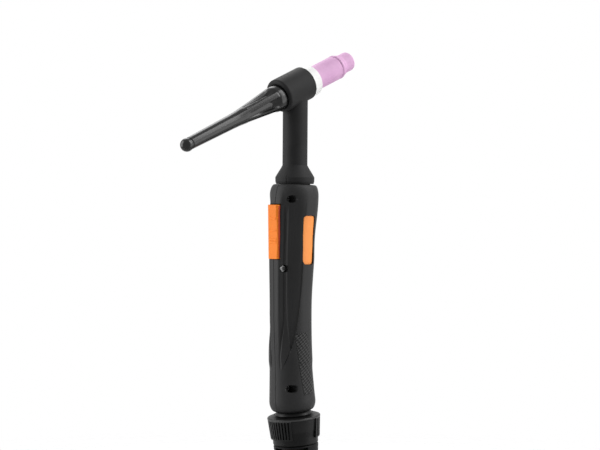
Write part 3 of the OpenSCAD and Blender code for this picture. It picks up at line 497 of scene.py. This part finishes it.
# distance of a screw from the grip's top, place across, radius of its boss
SCREWS = [(11.4, -13.8, 3.9), (66.6, -15.1, 3.35), (162, -11.7, 3.9)]
SEAT, SEAT_R, SHANK_R = 5.0, 3.05, 1.6    # how far out the heads sit, bore of seat and of shank
LOW_SLOT = (0.6, 1.1)           # how far the lowest seat reaches past its bore, front and back
TRIGGER_LOW, TRIGGER_TOP, TRIGGER_W = 31.0, 74.0, 11.6
LABEL_AT, LABEL_X = 44.0, -1.05


def label_cutter():
    """A rounded plate's prism, reaching inward from the -Y side to the label's back."""
    bm = bmesh.new()
    w, l, r = 6.1, 19.5, 2.8         # half width and length, corner's radius
    back, outside = -14.4, -30
    rim = []
    for cx, cz, first in ((w - r, l - r, 0), (r - w, l - r, 90), (r - w, r - l, 180), (w - r, r - l, 270)):
        rim += [(cx + r * cosd(first + 9 * k), cz + r * sind(first + 9 * k)) for k in range(11)]
    base = [bm.verts.new(Vector((x, back, z)) * MM) for x, z in rim]
    tip = [bm.verts.new(Vector((x, outside, z)) * MM) for x, z in rim]
    bm.faces.new(base)
    bm.faces.new(tip[::-1])
    for k in range(len(rim)):
        n = (k + 1) % len(rim)
        bm.faces.new((base[k], base[n], tip[n], tip[k]))
    bmesh.ops.translate(bm, vec=Vector((LABEL_X, 0, GRIP / 2 - LABEL_AT)) * MM, verts=bm.verts)
    return mesh_object("cutter", bm)


def trigger_slot():
    """The opening that the trigger moves in, with a gap all round."""
    low = (-40, -TRIGGER_W / 2 - 0.4, TRIGGER_LOW - 0.4)
    high = (-11.6, TRIGGER_W / 2 + 0.4, TRIGGER_TOP + 0.8)
    bm = bmesh.new()
    bmesh.ops.create_cube(bm, size=1)
    for v in bm.verts:
        v.co = Vector([blend(l, h, c + 0.5) * MM for l, h, c in zip(low, high, v.co)])
    return mesh_object("cutter", bm)


def screw_axis(d, across):
    return Vector((axis_x(d) + across, 0, GRIP / 2 - d))


def slotted(piece, d, across):
    """Draws the wall of the lowest seat apart into a short slot; the shank's hole stays round."""
    centre = screw_axis(d, across) * MM
    for v in piece.data.vertices:
        off = v.co - centre
        if d > WAIST_AT and math.hypot(off.x, off.z) > (SHANK_R + 0.4) * MM:
            v.co.x += (LOW_SLOT[1] if off.x > 0 else -LOW_SLOT[0]) * MM
    return piece


def counterbore(d, across):
    """Seat of a screw head and its straight bore."""
    cutter = turned("cutter", [(0, SEAT), (SEAT_R, SEAT), (SEAT_R, 40), (0, 40)], screw_axis(d, across))
    return slotted(cutter, d, across)


def boss(d, across, r):
    """Screw boss of the right shell: hole, seat and the wall round the counterbore, up into the shell."""
    low, high, bore, under_skin = 0.05, 14, SEAT_R + 0.03, 1.2
    piece = turned("screw_boss", [(SHANK_R, low), (r, low), (r, high), (bore, high), (bore, SEAT), (SHANK_R, SEAT),
                                  (SHANK_R, low)], screw_axis(d, across))
    slotted(piece, d, across)
    for v in piece.data.vertices:
        deep = GRIP / 2 - v.co.z / MM
        out = math.sqrt(max(1, (body_r(deep) - under_skin) ** 2 - (v.co.x / MM - axis_x(deep)) ** 2))
        v.co.y = max(v.co.y, -out * MM)
    return piece


left_shell = shell("grip_shell_left", 1)
right_shell = shell("grip_shell_right", -1)
cut(left_shell, trigger_slot())
cut(right_shell, trigger_slot(), label_cutter(), *[counterbore(d, across) for d, across, r in SCREWS])
for piece, node in ((left_shell, "handle_left"), (right_shell, "handle_right")):
    for f in piece.data.polygons:
        f.use_smooth = True
    piece.data.set_sharp_from_angle(angle=math.radians(32))
    piece.data.materials.clear()
    piece.data.materials.append(finishes[node])
    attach(piece, "torch")
    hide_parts(node)
for screw in SCREWS:
    piece = boss(*screw)
    piece.data.materials.append(finishes["handle_right"])
    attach(piece, "torch")


def label_plate():
    """The label: a rounded plate whose face follows the shell, a quarter of a millimetre below it."""
    bm = bmesh.new()
    w, l, corner, back = 5.9, 19.3, 2.6, -14.5       # half width and length, corner's radius, rear face
    cols, rows = 24, 60
    pairs = []
    for j in range(rows + 1):
        z = blend(-l, l, j / rows)
        inset = corner - math.sqrt(max(0, corner ** 2 - max(0, abs(z) - l + corner) ** 2))
        for k in range(cols + 1):
            x = LABEL_X + blend(inset - w, w - inset, k / cols)
            d = LABEL_AT - z
            across = axis_x(d) - x
            r = body_r(d) - 0.25 - 0.3 * max(0, abs(z) / l * 10 - 9.6)
            face = math.sqrt(r ** 2 - across ** 2)
            pairs.append([bm.verts.new(Vector((x, y, GRIP / 2 - d)) * MM) for y in (-face, back)])
    for j in range(rows):
        for k in range(cols):
            a, b, c, d = (j * (cols + 1) + k, j * (cols + 1) + k + 1, (j + 1) * (cols + 1) + k + 1,
                          (j + 1) * (cols + 1) + k)
            bm.faces.new([pairs[n][0] for n in (a, b, c, d)])
            bm.faces.new([pairs[n][1] for n in (d, c, b, a)])
    rim = list(range(cols)) + [j * (cols + 1) + cols for j in range(rows)]
    rim += [rows * (cols + 1) + k for k in range(cols, 0, -1)] + [j * (cols + 1) for j in range(rows, 0, -1)]
    for a, b in zip(rim, rim[1:] + rim[:1]):
        bm.faces.new((pairs[a][0], pairs[b][0], pairs[b][1], pairs[a][1]))
    return mesh_object("label_plate", bm, 40)


piece = label_plate()
piece.data.materials.append(finishes["label_inlay"])
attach(piece, "torch")
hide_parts("label_inlay")


# ---------------------------------------------------------------- back cap
AHEAD = Vector((sind(44), cosd(44), 0))          # the camera looks this way
RIGHT = Vector((AHEAD.y, -AHEAD.x, 0))
HEAD_AT = Vector((0, 0, 167))
CAP_AXIS = Vector((-cosd(22.4), 0, -sind(22.4)))
COLLAR_R, COLLAR_FROM, COLLAR_TO, KNOB_R, KNOB_AT = 10.4, 17.75, 26.5, 5.3, 124.2
RIDGES, RIDGE_HALF, RIDGE_WALL, FIRST_RIDGE = 5, 2.1, 0.6, -9.0
RAMP = 7.5                   # length of the ramp at the end of a flute
ROD_R, ROD_AT, ROD_TAPER = 6.25, 49, 0.0188
RIDGE_LEN, RIDGE_CURVE = 45, 1.35


def rod_r(t):
    return ROD_R + (ROD_AT - t) * ROD_TAPER


def ridge_r(t):
    return rod_r(t) + (COLLAR_R - rod_r(t)) * max(0, 1 - (t - COLLAR_TO) / RIDGE_LEN) ** RIDGE_CURVE


def cap_radius(t, share):
    """Radius behind the collar; share runs from 0 at the flute's edge to 1 at its middle."""
    floor = rod_r(t) - 0.3 * share * (1 - ease(45, 62, t))
    ramp_to = RAMP + 2.2 * (1 - share ** 2)
    ramp = COLLAR_R - (COLLAR_R - rod_r(COLLAR_TO + RAMP)) * min(1, (t - COLLAR_TO) / ramp_to) ** 0.9
    return min(ridge_r(t), max(floor, ramp))


def cap_ring(t):
    """The corners of the cap's section at t, as (angle, radius), ridge by ridge."""
    top = ridge_r(t)
    edge, foot = [math.degrees(w / top) for w in (RIDGE_HALF, RIDGE_HALF + RIDGE_WALL)]
    step = 360 / RIDGES
    ring = []
    for k in range(RIDGES):
        mid = FIRST_RIDGE + k * step
        ring += [(mid + edge * w, top) for w in (-1, -0.5, 0, 0.5, 1)]
        for j in range(13):
            a = blend(foot, step - foot, j / 12)
            share = 1 - abs(j / 6 - 1)
            ring.append((mid + a, cap_radius(t, share * (2 - share))))
    return ring


def back_cap():
    """Collar, fluted cone, slim rod and ball end in one skin, open at the bore."""
    side = (-AHEAD - CAP_AXIS * (-AHEAD).dot(CAP_AXIS)).normalized()
    below = side.cross(CAP_AXIS)
    sections = [(t, [(a, r) for a, q in cap_ring(COLLAR_TO)]) for t, r in (
        (COLLAR_FROM, 8.6), (COLLAR_FROM, 10.0), (COLLAR_FROM + 0.35, COLLAR_R), (22, COLLAR_R),
        (COLLAR_TO - 0.5, COLLAR_R), (COLLAR_TO - 0.2, 10.32))]
    rows = [COLLAR_TO + 0.25 * k for k in range(52)] + [COLLAR_TO + 13 + 0.9 * k for k in range(34)]
    sections += [(t, [(a, min(r, 10.25)) for a, r in cap_ring(t)]) for t in rows]
    groove = KNOB_AT - 3.4
    tail = [(rows[-1] + 6 + 9 * k, rod_r(rows[-1] + 6 + 9 * k)) for k in range(6)]
    tail += [(groove - 0.3, 4.9), (groove, 4.8), (groove + 0.2, 4.5), (groove + 1.5, 4.5), (groove + 2.0, 5.15)]
    tail += [(KNOB_AT + KNOB_R * sind(a), KNOB_R * cosd(a)) for a in range(-12, 90, 6)]
    sections += [(t, [(a, r) for a, q in cap_ring(90)]) for t, r in tail]
    bm = bmesh.new()
    rings = [[bm.verts.new((HEAD_AT + CAP_AXIS * t + (side * cosd(a) + below * sind(a)) * r) * MM) for a, r in ring]
             for t, ring in sections]
    for one, two in zip(rings, rings[1:]):
        for k in range(len(one)):
            n = (k + 1) % len(one)
            bm.faces.new((one[k], one[n], two[n], two[k]))
    bm.faces.new(rings[-1])
    return mesh_object("back_cap_fluted", bm, 30)


piece = back_cap()
piece.data.materials.append(finishes["back_cap"])
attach(piece, "back_cap")
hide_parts("back_cap")


# ---------------------------------------------------------------- room, lamps and camera
def stage_floor():
    """A pale round floor under the torch that fades into the white room."""
    floor_r, fade_from, fade_to = 0.62, 0.26, 0.6
    me = bpy.data.meshes.new("floor")
    bm = bmesh.new()
    bmesh.ops.create_circle(bm, cap_ends=True, segments=96, radius=floor_r)
    bm.to_mesh(me)
    bm.free()
    floor = bpy.data.objects.new("floor", me)
    bpy.context.collection.objects.link(floor)
    floor.location = (0.02, 0, solid_box[0].z - 0.001)
    f = Finish("pale floor")
    x, y, z = f.axes()
    reach = (x * x + y * y).math("SQRT")
    grain = f.noise(160, 2)
    f.done(Base_Color=grain.mix(shade(0.9), shade(0.93)), Roughness=0.6)
    clear = f.node("ShaderNodeBsdfTransparent")
    lit = Field(f.tree, f.shader.outputs[0])
    faded = f.node("ShaderNodeMixShader", {0: reach.between(fade_from, fade_to), 1: lit, 2: clear})
    f.tree.links.new(faded.socket, f.tree.nodes["Material Output"].inputs[0])
    me.materials.append(f.material)


def room():
    """A dim soft world that looks white wherever it is seen or mirrored."""
    world = bpy.data.worlds.new("room")
    bpy.context.scene.world = world
    world.use_nodes = True
    tree = world.node_tree
    f = Field(tree)
    seen, glossy, through = f.node("ShaderNodeLightPath").outputs("Is Camera Ray", "Is Glossy Ray",
                                                                  "Is Transmission Ray")
    seen = seen.math("MAXIMUM", glossy).math("MAXIMUM", through)
    soft = tree.nodes["Background"]
    soft.inputs[0].default_value = (0.96, 0.98, 1, 1)
    soft.inputs[1].default_value = 0.15
    white = f.node("ShaderNodeBackground", {0: (1, 1, 1, 1), 1: 1.0})
    both = f.node("ShaderNodeMixShader", {0: seen, 1: Field(tree, soft.outputs[0]), 2: white})
    tree.links.new(both.socket, tree.nodes["World Output"].inputs[0])


def lamp(name, place, aim, size, power):
    data = bpy.data.lights.new(name, "AREA")
    data.shape = "RECTANGLE"
    data.size, data.size_y = size
    data.energy = power
    o = bpy.data.objects.new(name, data)
    bpy.context.collection.objects.link(o)
    o.location = place
    o.rotation_euler = (Vector(aim) - Vector(place)).to_track_quat("-Z", "Y").to_euler()


def seen_from_camera(right, ahead, up):
    return RIGHT * right + AHEAD * ahead + Vector((0, 0, up))


def camera():
    data = bpy.data.cameras.new("camera")
    data.lens = 138
    data.sensor_width = 36
    data.clip_start, data.clip_end = 0.05, 30
    o = bpy.data.objects.new("camera", data)
    bpy.context.collection.objects.link(o)
    o.location = seen_from_camera(0.0044, -1.84, 0.0858)
    down = math.radians(0.872)
    look = AHEAD * math.cos(down) - Vector((0, 0, math.sin(down)))
    o.rotation_mode = "QUATERNION"
    o.rotation_quaternion = look.to_track_quat("-Z", "Y") @ Matrix.Rotation(math.radians(0.4), 3, "Z").to_quaternion()
    bpy.context.scene.camera = o


stage_floor()
room()
lamp("soft box left", seen_from_camera(-0.95, -0.05, 0.3), (0, 0, 0.05), (0.6, 1.2), 11)
lamp("soft box right", seen_from_camera(0.85, -0.1, 0.92), (0, 0, 0.05), (0.6, 0.9), 12)
lamp("low fill right", seen_from_camera(0.95, -0.15, 0.1), (0, 0, 0.05), (0.6, 0.9), 4.4)
lamp("top box", seen_from_camera(-0.1, 0.85, 1.05), (0, 0, 0.1), (0.9, 0.7), 6.2)
camera()
view = bpy.context.scene.view_settings
view.view_transform = "Standard"
